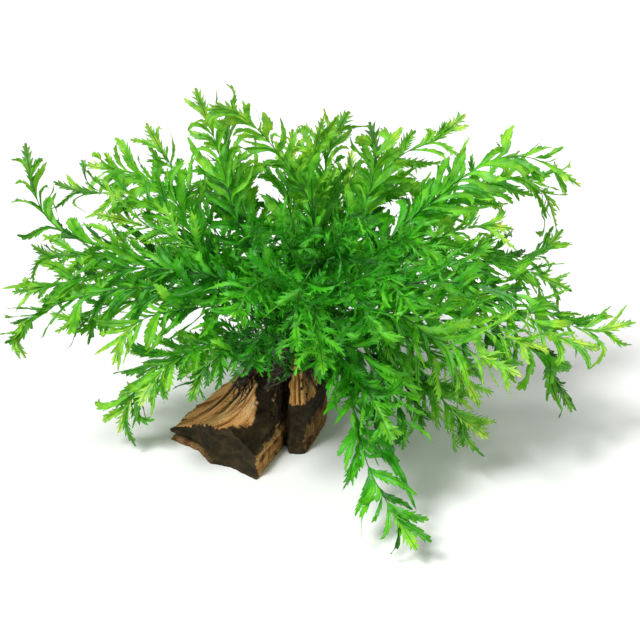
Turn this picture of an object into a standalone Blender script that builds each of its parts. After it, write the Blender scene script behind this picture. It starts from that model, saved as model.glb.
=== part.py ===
"""African water fern growing on a piece of driftwood.

Metres, +Z up, -Y towards the viewer of the photograph. The origin is on the flat underside of the
driftwood, so the part stands on Z = 0. The fern's creeping rhizome lies along the top of the wood, and
every frond is a piece of its own that grows from it: a bare stalk, then a rachis with leaflets on both
sides, drawn out to a tip.
"""

import math
import random

import bmesh
import bpy
from mathutils import Matrix, Vector, noise
from mathutils.bvhtree import BVHTree

MM = 0.001
GAP = 0.3 * MM  # clearance between pieces that touch on the real plant

# How the photograph sees the plant. It turns a place in the picture into a place in space.
PICTURE_PX = 640
VIEW_WIDTH = 480 * MM  # what the picture spans at VIEW_DISTANCE
VIEW_DISTANCE = 1150 * MM
VIEW_ELEVATION = math.radians(25)
AIM = Vector((30, 0, 99)) * MM  # the point at the middle of the picture
FORWARD = Vector((0, math.cos(VIEW_ELEVATION), -math.sin(VIEW_ELEVATION)))
PICTURE_UP = Vector((0, math.sin(VIEW_ELEVATION), math.cos(VIEW_ELEVATION)))
EYE = AIM - FORWARD * VIEW_DISTANCE
MM_PER_PX = VIEW_WIDTH / PICTURE_PX

# Driftwood: a split stump with two blunt limbs
HEART = Vector((8, 10, 0)) * MM  # where the limbs meet, seen from above
CROWN_HEIGHT = 72 * MM
CROWN_SHARE = 0.74  # share of the way from the rim to the heart at which the top levels out
WOOD_STEPS = 3  # facets along each stretch of the outline
WOOD_RINGS = (0, 0.13, 0.28, 0.44, 0.6, 0.74, 0.87)  # rim to heart, as shares of the way
WALL_RINGS = (0, 0.35, 0.7)  # foot to rim, as shares of the height
WALL_HOLLOW = 2.2 * MM  # how far the broken wall is hollowed out
WOOD_ROUGHNESS = 1.6 * MM
GRAIN_SIZE = 9 * MM
WOOD_SEED = 7
# The outline, clockwise from above: X and Y of the foot and the height of the broken rim above it, in
# mm, then how late the top climbs from there to the crown.
WOOD_OUTLINE = (
    (3, -14, 14, 1.2),  # notch between the limbs
    (-6, -38, 17, 2.2),
    (-17, -67, 19, 2.6),  # front tip of the left limb
    (-37, -49, 33, 3.0),
    (-53, -43, 32, 2.8),
    (-62, -24, 24, 2.3),
    (-81, -6, 9, 1.6),  # its left tip
    (-64, 12, 20, 1.5),
    (-48, 22, 32, 1.5),
    (-34, 40, 34, 1.4),
    (-8, 52, 34, 1.4),
    (16, 56, 32, 1.4),
    (36, 46, 30, 1.3),
    (35, 22, 36, 1.1),
    (26, -8, 40, 1.0),
    (19, -29, 43, 0.9),
    (7, -29, 42, 0.9),  # front of the right limb
)
FORK = (Vector((3, -14, 0)) * MM, Vector((7, 55, 0)) * MM)  # the line along which the limbs part
FORK_GAP = 0.4 * MM
SHARP_ANGLE = math.radians(40)  # edges of the wood and rhizome sharper than this stay sharp

# Rhizome
RHIZOME_RADIUS = 4.2 * MM
RHIZOME_SIDES = 8
RHIZOME_STEP = 5 * MM
RHIZOME_END = (0.5, 0.87)  # radius of the last rings at a blunt end, as shares of the full one
# Where each stem of it creeps over the crown, X and Y in mm.
RHIZOME_STEMS = {
    "rhizome_main": ((-34, -6), (-14, -1), (8, 4), (20, 7), (29, 13)),
    "rhizome_front": ((4, -7), (1, -14), (-10, -24)),
    "rhizome_back": ((12, 15.5), (8, 26), (-6, 38)),
}

# Fronds
STALK_THICKNESS = 1.5 * MM
TIP_THICKNESS = 0.9 * MM
KEEL = 1.1  # half width of a stalk, as a share of its thickness
BASE_SPACING = 1.75 * MM
BASE_ANGLES = (-55, 0, 55)  # degrees round the rhizome from its top
RISE = 9 * MM  # a stalk leaves the rhizome straight for this far
DEPTH_EASE = 0.85  # how soon a frond reaches its depth: under 1 is early
PATH_STEPS = 48  # points along a frond's smooth course
FACING_UP = 0.55  # what the upper side of a blade faces: up,
FACING_OUT = 0.3  # away from the crown,
FACING_VIEWER = 0.6  # and, on the side that the photograph shows, at the viewer
STALK_SHARE = 0.25  # bare stalk, as a share of the frond's length
INNER_STALK_SHARE = 0.12  # the same for the small fronds inside the bush
STALK_STEPS = 2
LEAFLET_SPACING = 15.5 * MM
LEAFLET_LIMITS = (5, 12)  # pairs of leaflets on a frond
LEAFLET_LENGTH = 34 * MM  # the longest, on a big frond
LEAFLET_SHARE = 0.20  # the longest on a small frond, as a share of the frond's length
LEAFLET_VARIETY = (0.74, 1.14)  # shares of its due length that a leaflet may have
LEAFLET_SWEEP = (28, 56)  # degrees from the rachis
LEAFLET_FOLD = 42  # degrees up or down from the blade
LEAFLET_RELIEF = (0, 22, -22, 44, -44, 66, -66)  # degrees that a leaflet may turn aside to clear its neighbours
LEAFLET_TRIMS = (1.0, 0.78, 0.56)  # shares of its length that a leaflet may shrink to
LOWEST = 3 * MM  # a rachis stays this far above the ground
LEAFLET_LOWEST = 0.8 * MM
SPARE = 0.45 * MM  # extra thickness that each new frond keeps clear of the others

# Fronds that the photograph shows. For each: mm towards the viewer at the tip, then the places along
# it, crown to tip, as pixels of the photograph.
SEEN_FRONDS = {
    "frond_left_curl": (-50, (225, 265), (150, 258), (88, 243), (55, 226), (36, 197), (25, 143)),
    "frond_left_top": (-70, (235, 285), (194, 235), (172, 197), (136, 174), (112, 170), (84, 165)),
    "frond_left_upper": (-25, (220, 260), (150, 206), (110, 194), (75, 190), (53, 182)),
    "frond_left_inner": (-5, (235, 275), (172, 236), (130, 222), (95, 214)),
    "frond_left_middle": (20, (230, 285), (135, 256), (80, 254), (50, 256), (31, 245)),
    "frond_left_long": (40, (240, 290), (150, 268), (90, 277), (40, 288), (12, 292)),
    "frond_left_hook": (60, (235, 300), (135, 288), (85, 296), (40, 312), (16, 332), (26, 358)),
    "frond_left_lower": (5, (225, 300), (150, 300), (108, 306), (80, 320), (55, 332)),
    "frond_left_hanging": (75, (235, 310), (170, 312), (138, 322), (122, 340), (113, 365)),
    "frond_left_droop": (30, (245, 335), (195, 348), (165, 358), (138, 385), (118, 433)),
    "frond_left_low": (85, (250, 335), (195, 350), (160, 372), (139, 406)),
    "frond_left_short": (100, (262, 342), (228, 352), (204, 370), (190, 402)),
    "frond_top_outer": (-90, (240, 265), (200, 210), (180, 180), (160, 148), (146, 123)),
    "frond_top_tall": (-45, (270, 285), (235, 215), (225, 175), (213, 135), (195, 88)),
    "frond_top_arch": (-5, (315, 260), (308, 200), (285, 163), (258, 130), (230, 110), (207, 110)),
    "frond_top_broad": (-85, (268, 265), (238, 195), (228, 150), (228, 112)),
    "frond_top_left": (-60, (298, 260), (288, 195), (292, 155), (292, 129)),
    "frond_top_middle": (-30, (315, 260), (312, 190), (316, 145), (324, 116)),
    "frond_top_fork": (-70, (322, 250), (325, 170), (334, 138), (349, 111)),
    "frond_top_back": (-105, (332, 250), (345, 195), (352, 150)),
    "frond_top_right": (-50, (345, 260), (370, 190), (376, 152), (369, 122)),
    "frond_top_reach": (-85, (348, 245), (376, 185), (402, 155), (435, 140), (465, 114)),
    "frond_right_arch": (-30, (380, 250), (450, 187), (495, 160), (535, 159), (581, 187)),
    "frond_right_upper": (-95, (390, 240), (440, 205), (475, 192), (503, 197)),
    "frond_right_bend": (-65, (400, 240), (470, 190), (520, 178), (545, 196), (556, 228)),
    "frond_right_inner": (-15, (400, 262), (445, 235), (480, 226), (514, 229)),
    "frond_right_raised": (-45, (405, 265), (480, 252), (535, 256), (563, 229)),
    "frond_right_middle": (10, (400, 275), (480, 262), (530, 272), (572, 291)),
    "frond_right_long": (35, (390, 290), (447, 282), (520, 296), (585, 330), (636, 322)),
    "frond_right_outer": (55, (400, 300), (470, 298), (520, 313), (560, 338), (597, 348)),
    "frond_right_lower": (65, (405, 312), (460, 312), (510, 330), (545, 365), (572, 412)),
    "frond_right_short": (90, (400, 315), (460, 325), (510, 338), (549, 352)),
    "frond_right_low": (75, (380, 340), (425, 380), (455, 412), (489, 438)),
    "frond_right_under": (100, (390, 330), (430, 352), (462, 376), (480, 408)),
    "frond_right_filler": (125, (388, 312), (430, 336), (475, 354), (522, 376)),
    "frond_front_right": (70, (365, 355), (400, 380), (418, 408), (422, 434)),
    "frond_front_thin": (125, (345, 345), (378, 375), (400, 410), (403, 450)),
    "frond_front_middle": (150, (325, 345), (352, 375), (375, 405), (393, 445)),
    "frond_front_long": (200, (330, 350), (348, 385), (358, 430), (372, 475), (417, 550)),
    "frond_inner_1": (150, (312, 302), (318, 335), (324, 375)),
    "frond_inner_2": (165, (300, 285), (296, 315), (298, 352)),
    "frond_inner_3": (130, (282, 308), (262, 335), (248, 372)),
    "frond_inner_4": (135, (272, 280), (250, 290), (232, 318)),
    "frond_inner_5": (160, (340, 290), (362, 305), (375, 338)),
    "frond_inner_6": (135, (352, 280), (390, 285), (418, 318)),
    "frond_inner_7": (95, (290, 250), (270, 225), (248, 232)),
    "frond_inner_8": (100, (340, 240), (352, 215), (380, 222)),
    "frond_inner_9": (80, (375, 255), (410, 240), (445, 262)),
}

# Fronds that the others hide, behind the crown. For each: degrees from +X, how far it reaches from the
# heart, the height of its arch and that of its tip, in mm.
BACK_FRONDS = {
    "frond_back_1": (24, 178, 118, 66),
    "frond_back_2": (47, 172, 176, 140),
    "frond_back_3": (63, 168, 112, 48),
    "frond_back_4": (84, 176, 158, 112),
    "frond_back_5": (104, 166, 108, 40),
    "frond_back_6": (122, 176, 172, 128),
    "frond_back_7": (142, 174, 116, 60),
}

# Depth, roll and base that a frond may change to clear its neighbours, nearest to the wish first.
DEPTH_RELIEF = (0, 14, -14, 28, -28, 44, -44)  # mm towards the viewer at the tip
BEARING_RELIEF = 0.25  # degrees round the crown instead, for each of those mm, on a hidden frond
ROLL_RELIEF = (0, 25, -25, 50, -50)  # degrees
BASE_CHOICES = 18
GOOD_ENOUGH = 0.94  # share of the wished leaflet length that ends the search

# Colours (linear RGB) and finish
WOOD_BROWN = (0.17, 0.105, 0.05, 1)
WOOD_DARK = (0.06, 0.04, 0.022, 1)
RHIZOME_BROWN = (0.05, 0.04, 0.018, 1)
LEAF_GREENS = ((0.07, 0.30, 0.03, 1), (0.05, 0.23, 0.025, 1), (0.10, 0.36, 0.05, 1))


def place_at(across, down, toward):
    """The place seen at those pixels of the photograph, that many metres in front of the origin.

    A place that would be in the ground comes nearer, along the same line of sight, until it is not."""
    middle = PICTURE_PX / 2
    right = Vector((1, 0, 0)) * (across - middle) * MM_PER_PX
    ray = FORWARD * VIEW_DISTANCE + right + PICTURE_UP * (middle - down) * MM_PER_PX
    share = (-toward - EYE.y) / ray.y
    if EYE.z + ray.z * share < LOWEST:
        share = (LOWEST - EYE.z) / ray.z
    return EYE + ray * share


def pixels_of(place):
    """Where the photograph shows a place, across and down."""
    offset = place - EYE
    scale = VIEW_DISTANCE / offset.dot(FORWARD) / MM_PER_PX
    return PICTURE_PX / 2 + offset.x * scale, PICTURE_PX / 2 - offset.dot(PICTURE_UP) * scale


def make_material(name, colour, roughness):
    material = bpy.data.materials.new(name)
    material.use_nodes = True
    shader = material.node_tree.nodes["Principled BSDF"]
    shader.inputs["Base Color"].default_value = colour
    shader.inputs["Roughness"].default_value = roughness
    shader.inputs["Metallic"].default_value = 0
    return material


def add_object(name, mesh, material, parent, location=Vector()):
    """A named object whose mesh was made in world space, with its own origin at location."""
    mesh.transform(Matrix.Translation(-location))
    mesh.materials.append(material)
    piece = bpy.data.objects.new(name, mesh)
    piece.location = location
    piece.parent = parent
    bpy.context.scene.collection.objects.link(piece)
    return piece


def mesh_from(name, points, faces):
    mesh = bpy.data.meshes.new(name)
    mesh.from_pydata(points, [], faces)
    return mesh


def smooth_shaded(mesh):
    mesh.shade_smooth()
    mesh.set_sharp_from_angle(angle=SHARP_ANGLE)
    return mesh


def wood_stations():
    """The outline's points with the stretches between them divided, each as foot, rim and climb."""
    stations = []
    for index, (x, y, rim, late) in enumerate(WOOD_OUTLINE):
        next_x, next_y, next_rim, next_late = WOOD_OUTLINE[(index + 1) % len(WOOD_OUTLINE)]
        for step in range(WOOD_STEPS):
            share = step / WOOD_STEPS
            foot = Vector((x, y, 0)).lerp(Vector((next_x, next_y, 0)), share) * MM
            height = (rim + (next_rim - rim) * share) * MM
            stations.append((foot, height, late + (next_late - late) * share))
    return stations


def rough(place):
    """How far the surface is off its smooth shape there."""
    return noise.noise_vector(place / GRAIN_SIZE) * WOOD_ROUGHNESS


def driftwood_mesh():
    """The whole piece: a broken wall round its outline, and a top that climbs to the crown."""
    noise.seed_set(WOOD_SEED)
    rings = []
    stations = wood_stations()
    for share in WALL_RINGS:
        ring = []
        for foot, height, _ in stations:
            hollow = (foot - HEART).normalized() * math.sin(math.pi * share) * WALL_HOLLOW
            point = foot - hollow + Vector((0, 0, height * share))
            ring.append(point + (rough(point) if share else Vector()))
        rings.append(ring)
    for share in WOOD_RINGS:
        climb = min(1, share / CROWN_SHARE)
        ring = []
        for foot, height, late in stations:
            point = foot.lerp(HEART, share)
            point.z = height + (CROWN_HEIGHT - height) * climb**late
            ring.append(point + rough(point))
        rings.append(ring)
    points = [point for ring in rings for point in ring]
    points.append(HEART + Vector((0, 0, CROWN_HEIGHT)))
    points.append(HEART)
    around = len(stations)
    faces = []
    for ring in range(len(rings) - 1):
        for index in range(around):
            after = (index + 1) % around
            low, high = ring * around, (ring + 1) * around
            faces.append((low + after, low + index, high + index))
            faces.append((low + after, high + index, high + after))
    last = (len(rings) - 1) * around
    for index in range(around):
        after = (index + 1) % around
        faces.append((last + after, last + index, len(points) - 2))
        faces.append((index, after, len(points) - 1))
    return points, faces


def driftwood_limb(name, side):
    """One limb: the part of the driftwood on that side (-1 left, 1 right) of the fork."""
    points, faces = driftwood_mesh()
    shape = bmesh.new()
    corners = [shape.verts.new(point) for point in points]
    for face in faces:
        shape.faces.new([corners[index] for index in face])
    along = (FORK[1] - FORK[0]).normalized()
    across = Vector((along.y, -along.x, 0)) * side
    everything = shape.verts[:] + shape.edges[:] + shape.faces[:]
    edge = FORK[0] + across * FORK_GAP / 2
    cut = bmesh.ops.bisect_plane(shape, geom=everything, plane_co=edge, plane_no=across, clear_inner=True)
    seam = [edge for edge in cut["geom_cut"] if isinstance(edge, bmesh.types.BMEdge)]
    bmesh.ops.contextual_create(shape, geom=seam)
    bmesh.ops.recalc_face_normals(shape, faces=shape.faces[:])
    mesh = bpy.data.meshes.new(name)
    shape.to_mesh(mesh)
    shape.free()
    return mesh


def height_over(solid, x, y, radius):
    """How high the axis of a stem of that radius lies, when it rests on the wood at X, Y."""
    height = 0
    for step_x in (-1, -0.5, 0, 0.5, 1):
        for step_y in (-1, -0.5, 0, 0.5, 1):
            reach = math.hypot(step_x, step_y)
            if reach > 1:
                continue
            start = Vector((x + step_x * radius, y + step_y * radius, 1))
            hit = solid.ray_cast(start, Vector((0, 0, -1)))[0]
            if hit:
                height = max(height, hit.z + math.sqrt(1 - reach * reach) * radius)
    return height + GAP * 1.6


def smooth_path(places, steps):
    """Evenly spaced points on a smooth curve through the places."""
    places = [places[0] * 2 - places[1]] + list(places) + [places[-1] * 2 - places[-2]]
    dense = []
    for index in range(1, len(places) - 2):
        before, start, end, after = places[index - 1 : index + 3]
        reach = (end - start).length
        leave = (end - before).normalized() * reach
        arrive = (after - start).normalized() * reach
        for step in range(16):
            t = step / 16
            dense.append(
                start * (2 * t**3 - 3 * t**2 + 1)
                + leave * (t**3 - 2 * t**2 + t)
                + end * (3 * t**2 - 2 * t**3)
                + arrive * (t**3 - t**2)
            )
    dense.append(places[-2])
    travelled = [0]
    for start, end in zip(dense, dense[1:]):
        travelled.append(travelled[-1] + (end - start).length)
    path = []
    index = 0
    for step in range(steps + 1):
        target = travelled[-1] * step / steps
        while index < len(dense) - 2 and travelled[index + 1] < target:
            index += 1
        share = (target - travelled[index]) / (travelled[index + 1] - travelled[index])
        path.append(dense[index].lerp(dense[index + 1], share))
    return path


def path_length(path):
    return sum((end - start).length for start, end in zip(path, path[1:]))


def directions(path):
    """The direction of travel at each point of a path."""
    last = len(path) - 1
    return [(path[min(i + 1, last)] - path[max(i - 1, 0)]).normalized() for i in range(last + 1)]


def rhizome_axis(wood, plan):
    """The axis of a stem that lies on the wood, lifted until the stem clears it all along."""
    flat = [Vector((x, y, 0)) * MM for x, y in plan]
    steps = round(path_length(flat) / RHIZOME_STEP)
    axis = []
    for point in smooth_path(flat, steps):
        axis.append(Vector((point.x, point.y, height_over(wood, point.x, point.y, RHIZOME_RADIUS))))
    while wood.overlap(BVHTree.FromPolygons(*rhizome_solid(axis, GAP))):
        for place in axis:
            place.z += GAP / 2
    return axis


def rhizome_solid(axis, spare=0.0):
    """Points and faces of a blunt-ended stem along its axis."""
    shares = list(RHIZOME_END) + [1] * (len(axis) - 2 * len(RHIZOME_END)) + list(reversed(RHIZOME_END))
    points = []
    for place, direction, share in zip(axis, directions(axis), shares):
        side = direction.cross(Vector((0, 0, 1))).normalized()
        top = side.cross(direction)
        for corner in range(RHIZOME_SIDES):
            angle = math.tau * corner / RHIZOME_SIDES
            spoke = side * math.cos(angle) + top * math.sin(angle)
            points.append(place + spoke * (RHIZOME_RADIUS * share + spare))
    faces = []
    for ring in range(len(axis) - 1):
        for corner in range(RHIZOME_SIDES):
            after = (corner + 1) % RHIZOME_SIDES
            low, high = ring * RHIZOME_SIDES, (ring + 1) * RHIZOME_SIDES
            faces.append((low + after, low + corner, high + corner))
            faces.append((low + after, high + corner, high + after))
    last = (len(axis) - 1) * RHIZOME_SIDES
    faces.append(tuple(range(RHIZOME_SIDES)))
    faces.append(tuple(last + corner for corner in reversed(range(RHIZOME_SIDES))))
    return points, faces


def base_places(axes):
    """Where fronds can leave the rhizome: points just off its surface, with their directions."""
    bases = []
    for axis in axes:
        steps = int(path_length(axis) / BASE_SPACING)
        fine = smooth_path(axis, steps)
        for index, (place, direction) in enumerate(zip(fine, directions(fine))):
            if not 1 < index < steps - 1:
                continue
            angle = math.radians(BASE_ANGLES[index % len(BASE_ANGLES)])
            side = direction.cross(Vector((0, 0, 1))).normalized()
            top = side.cross(direction)
            outward = top * math.cos(angle) + side * math.sin(angle)
            bases.append((place + outward * (RHIZOME_RADIUS + GAP * 1.5), outward))
    return bases


class Frond:
    """One frond: rows of four points along its rachis, and a leaflet or none on each side of each step."""

    def __init__(self, path, leaving, facing, roll):
        self.path = path
        self.ways = [leaving, *directions(path)[1:]]
        self.normals = []
        normal = facing
        for way in self.ways:
            normal = normal - way * normal.dot(way)
            wish = facing - way * facing.dot(way)
            normal = (normal.normalized() + wish).normalized()
            self.normals.append(Matrix.Rotation(roll, 3, way) @ normal)

    def thickness(self, index):
        share = index / (len(self.path) - 1)
        return STALK_THICKNESS + (TIP_THICKNESS - STALK_THICKNESS) * share

    def row(self, index, spare=0.0):
        """Top, bottom, left and right points of the rachis at one station."""
        thick = self.thickness(index)
        place, normal = self.path[index], self.normals[index]
        side = self.ways[index].cross(normal)
        across = side * (thick * KEEL + spare)
        up = normal * (thick / 2 + spare)
        return place + up, place - up, place + across, place - across

    def leaflet_tip(self, index, side, length, sweep, fold):
        """Where a leaflet ends that grows between two stations, on the left (1) or the right (-1)."""
        normal = (self.normals[index] + self.normals[index + 1]).normalized()
        way = (self.path[index + 1] - self.path[index]).normalized()
        outward = way.cross(normal) * side
        root = self.path[index].lerp(self.path[index + 1], 0.5)
        spread = outward * math.cos(fold) + normal * math.sin(fold)
        return root + (way * math.cos(sweep) + spread * math.sin(sweep)) * length

    def leaflet_shape(self, index, side, tip, spare=0.0):
        """The leaflet alone, as points and triangles."""
        top, bottom, left, right = self.row(index, spare)
        next_top, next_bottom, next_left, next_right = self.row(index + 1, spare)
        edge, next_edge = (left, next_left) if side > 0 else (right, next_right)
        points = [top, bottom, edge, next_top, next_bottom, next_edge, tip]
        faces = [(0, 2, 6), (0, 6, 5), (0, 5, 3), (1, 6, 2), (1, 5, 6), (1, 4, 5)]
        return points, faces

    def solid(self, leaflets, spare=0.0):
        """The whole frond as points and triangles. leaflets maps (station, side) to a leaflet's tip."""
        points = []
        for index in range(len(self.path) - 1):
            points.extend(self.row(index, spare))
        apex = len(points)
        points.append(self.path[-1])
        faces = [(0, 1, 2), (0, 3, 1)]
        for index in range(len(self.path) - 2):
            row = index * 4
            for side in (1, -1):
                edge = 2 if side > 0 else 3
                tip = leaflets.get((index, side))
                if tip is None:
                    rim = (row + edge, row + 4 + edge)
                else:
                    rim = (row + edge, len(points), row + 4 + edge)
                    points.append(tip)
                for face, ahead in ((row, row + 4), (row + 1, row + 5)):
                    over = face == row
                    fan = [(face, start, end) for start, end in zip(rim, rim[1:])]
                    fan.append((face, rim[-1], ahead))
                    for a, b, c in fan:
                        faces.append((a, b, c) if over == (side > 0) else (a, c, b))
        last = (len(self.path) - 2) * 4
        faces.append((last, last + 2, apex))
        faces.append((last, apex, last + 3))
        faces.append((last + 1, apex, last + 2))
        faces.append((last + 1, last + 3, apex))
        return points, faces


def profile(share):
    """Length of the leaflets along the blade, 0 at its foot and 1 at its tip, as a share of the longest."""
    return min(0.7 + share, 1.0, 0.56 + (1 - share) * 1.1)


def lowest_of(points):
    return min(point.z for point in points)


def dress(frond, length, seed, placed):
    """Leaflets for a frond, each turned aside or trimmed to clear what is placed already.

    Returns the leaflets' tips and the share of the wished length that they keep."""
    chance = random.Random(seed)
    steps = len(frond.path) - 2
    longest = min(LEAFLET_LENGTH, length * LEAFLET_SHARE)
    leaflets = {}
    wished = kept = 0
    for index in range(STALK_STEPS, steps):
        for side in (1, -1):
            share = (index - STALK_STEPS + (0.5 if side < 0 else 0)) / (steps - STALK_STEPS)
            reach = longest * profile(share) * chance.uniform(*LEAFLET_VARIETY)
            sweep = math.radians(chance.uniform(*LEAFLET_SWEEP))
            fold = chance.uniform(-LEAFLET_FOLD, LEAFLET_FOLD)
            wished += reach
            tries = [(trim, turn) for trim in LEAFLET_TRIMS for turn in LEAFLET_RELIEF]
            for trim, turn in tries:
                tip = frond.leaflet_tip(index, side, reach * trim, sweep, math.radians(fold + turn))
                if tip.z < LEAFLET_LOWEST:
                    continue
                points, faces = frond.leaflet_shape(index, side, tip, SPARE)
                if placed.overlap(BVHTree.FromPolygons(points, faces)):
                    continue
                leaflets[(index, side)] = tip
                kept += reach * trim
                break
    return leaflets, kept / wished


def crosses_itself(points, faces):
    tree = BVHTree.FromPolygons(points, faces)
    for first, second in tree.overlap(tree):
        if first < second and not set(faces[first]) & set(faces[second]):
            return True
    return False


def seen_route(base, outward, toward, pixels):
    """Places along a frond in the photograph, from its base to its tip, at smoothly changing depth."""
    route = [Vector(pixels_of(base))] + [Vector(pixel) for pixel in pixels]
    travelled = [0]
    for start, end in zip(route, route[1:]):
        travelled.append(travelled[-1] + (end - start).length)
    places = [base, base + outward * RISE]
    for pixel, distance in zip(route[1:], travelled[1:]):
        share = (distance / travelled[-1]) ** DEPTH_EASE
        places.append(place_at(pixel.x, pixel.y, -base.y + (toward + base.y) * share))
    return places


def back_route(base, outward, azimuth, reach, arch, tip):
    """Places along an arching frond behind the crown."""
    way = Vector((math.cos(azimuth), math.sin(azimuth), 0))
    places = [base, base + outward * RISE]
    for share, height in ((0.55, arch), (0.82, arch + (tip - arch) * 0.38), (1, tip)):
        places.append(HEART + way * reach * share + Vector((0, 0, height)))
    return places


def frond_route(name, base, outward, shift):
    """The places that a frond passes from this base, with its depth or its bearing shifted."""
    if name in SEEN_FRONDS:
        toward, *pixels = SEEN_FRONDS[name]
        return seen_route(base, outward, (toward + shift) * MM, pixels)
    azimuth, reach, arch, tip = BACK_FRONDS[name]
    azimuth = math.radians(azimuth + shift * BEARING_RELIEF)
    return back_route(base, outward, azimuth, reach * MM, arch * MM, tip * MM)


def nearest_bases(name, bases):
    """The free bases that suit a frond best: they look where it goes."""
    if name in SEEN_FRONDS:
        toward, *pixels = SEEN_FRONDS[name]
        aim = place_at(*pixels[0], (toward * 0.3 - 7) * MM)
    else:
        azimuth = math.radians(BACK_FRONDS[name][0])
        aim = HEART + Vector((math.cos(azimuth), math.sin(azimuth), 2)) * 40 * MM
    ranked = sorted(bases, key=lambda base: (base[0] + base[1] * 30 * MM - aim).length)
    return ranked[:BASE_CHOICES]


def blade_facing(places, seen):
    """Which way the upper side of a blade looks: up and outward, and for the photograph's fronds at it."""
    outward = Vector((places[-1].x - HEART.x, places[-1].y - HEART.y, 0)).normalized()
    facing = Vector((0, 0, 1)) * FACING_UP + outward * FACING_OUT
    if seen:
        facing -= FORWARD * FACING_VIEWER
    return facing.normalized()


def rachis_stations(route, stalk_share):
    """Stations along the bare stalk and the blade of a frond, and the frond's length."""
    length = path_length(route)
    pairs = round(length * (1 - stalk_share) / LEAFLET_SPACING)
    pairs = max(LEAFLET_LIMITS[0], min(LEAFLET_LIMITS[1], pairs))
    path = smooth_path(route, PATH_STEPS)
    foot = round(PATH_STEPS * stalk_share)
    stalk = [path[foot * step // STALK_STEPS] for step in range(STALK_STEPS)]
    return stalk + smooth_path(path[foot:], pairs + 1), length


def grow(name, bases, placed):
    """A frond that clears everything placed: its solid, its base and the share of its leaflets it keeps.

    It tries depths, rolls and bases, nearest to the wish first, and takes the first that is good enough
    or else the best."""
    best = None
    choices = nearest_bases(name, bases)
    stalk_share = INNER_STALK_SHARE if name.startswith("frond_inner") else STALK_SHARE
    for shift in DEPTH_RELIEF:
        for roll in ROLL_RELIEF:
            for base in choices:
                route = frond_route(name, *base, shift)
                stations, length = rachis_stations(route, stalk_share)
                facing = blade_facing(route, name in SEEN_FRONDS)
                frond = Frond(stations, base[1], facing, math.radians(roll))
                rachis = frond.solid({}, SPARE)
                if lowest_of(rachis[0]) < LEAFLET_LOWEST or placed.overlap(BVHTree.FromPolygons(*rachis)):
                    continue
                leaflets, kept = dress(frond, length, name, placed)
                solid = frond.solid(leaflets)
                if best and kept <= best[2] or crosses_itself(*solid):
                    continue
                best = (solid, base, kept)
                if kept > GOOD_ENOUGH:
                    return best
    return best


def merged(solids):
    points, faces = [], []
    for solid_points, solid_faces in solids:
        start = len(points)
        points.extend(solid_points)
        faces.extend(tuple(start + index for index in face) for face in solid_faces)
    return BVHTree.FromPolygons(points, faces)


def solid_of(mesh):
    points = [vertex.co.copy() for vertex in mesh.vertices]
    return points, [tuple(polygon.vertices) for polygon in mesh.polygons]


def build():
    for old in list(bpy.data.objects):
        bpy.data.objects.remove(old, do_unlink=True)
    plant = bpy.data.objects.new("water_fern_on_driftwood", None)
    bpy.context.scene.collection.objects.link(plant)

    limbs = {"driftwood_left_limb": -1, "driftwood_right_limb": 1}
    colours = {"driftwood_left_limb": WOOD_BROWN, "driftwood_right_limb": WOOD_DARK}
    solids = []
    for name, side in limbs.items():
        mesh = smooth_shaded(driftwood_limb(name, side))
        solids.append(solid_of(mesh))
        add_object(name, mesh, make_material(name, colours[name], 0.85), plant)
    wood = merged(solids)

    axes = []
    for name, plan in RHIZOME_STEMS.items():
        axis = rhizome_axis(wood, plan)
        axes.append(axis)
        solids.append(rhizome_solid(axis))
        mesh = smooth_shaded(mesh_from(name, *solids[-1]))
        add_object(name, mesh, make_material(name, RHIZOME_BROWN, 0.7), plant)

    bases = base_places(axes)
    for number, name in enumerate([*SEEN_FRONDS, *BACK_FRONDS]):
        solid, base, kept = grow(name, bases, merged(solids))
        bases.remove(base)
        solids.append(solid)
        material = make_material(name, LEAF_GREENS[number % len(LEAF_GREENS)], 0.45)
        add_object(name, mesh_from(name, *solid), material, plant, base[0])
        print(f"{name} keeps {kept:.2f} of its leaflets' length")


build()
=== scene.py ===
import math
import random

import bpy
import numpy as np
from mathutils import Matrix, Vector, noise
from mathutils.bvhtree import BVHTree


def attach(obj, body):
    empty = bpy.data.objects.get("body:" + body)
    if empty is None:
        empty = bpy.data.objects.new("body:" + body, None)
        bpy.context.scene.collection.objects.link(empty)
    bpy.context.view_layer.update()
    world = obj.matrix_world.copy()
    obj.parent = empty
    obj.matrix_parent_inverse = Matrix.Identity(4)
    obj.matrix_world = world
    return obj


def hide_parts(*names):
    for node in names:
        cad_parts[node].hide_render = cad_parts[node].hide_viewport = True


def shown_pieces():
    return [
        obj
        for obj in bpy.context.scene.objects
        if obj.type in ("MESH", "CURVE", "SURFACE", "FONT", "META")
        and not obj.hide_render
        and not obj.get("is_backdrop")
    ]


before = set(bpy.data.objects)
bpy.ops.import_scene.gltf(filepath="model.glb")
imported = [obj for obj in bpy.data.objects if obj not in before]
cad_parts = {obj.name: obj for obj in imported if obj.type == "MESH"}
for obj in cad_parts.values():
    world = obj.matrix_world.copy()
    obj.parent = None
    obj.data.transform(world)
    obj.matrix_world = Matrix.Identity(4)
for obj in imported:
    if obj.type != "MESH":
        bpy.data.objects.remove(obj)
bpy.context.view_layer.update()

MM = 0.001

# The photograph's camera: 25 degrees above the ground, 480 mm across at the plant
ELEVATION = math.radians(25)
DISTANCE = 1150 * MM
AIM = Vector((30, 0, 99)) * MM
BACKWARD = Vector((0, -math.cos(ELEVATION), math.sin(ELEVATION)))
SENSOR = 36
VIEW_WIDTH = 480 * MM

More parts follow.
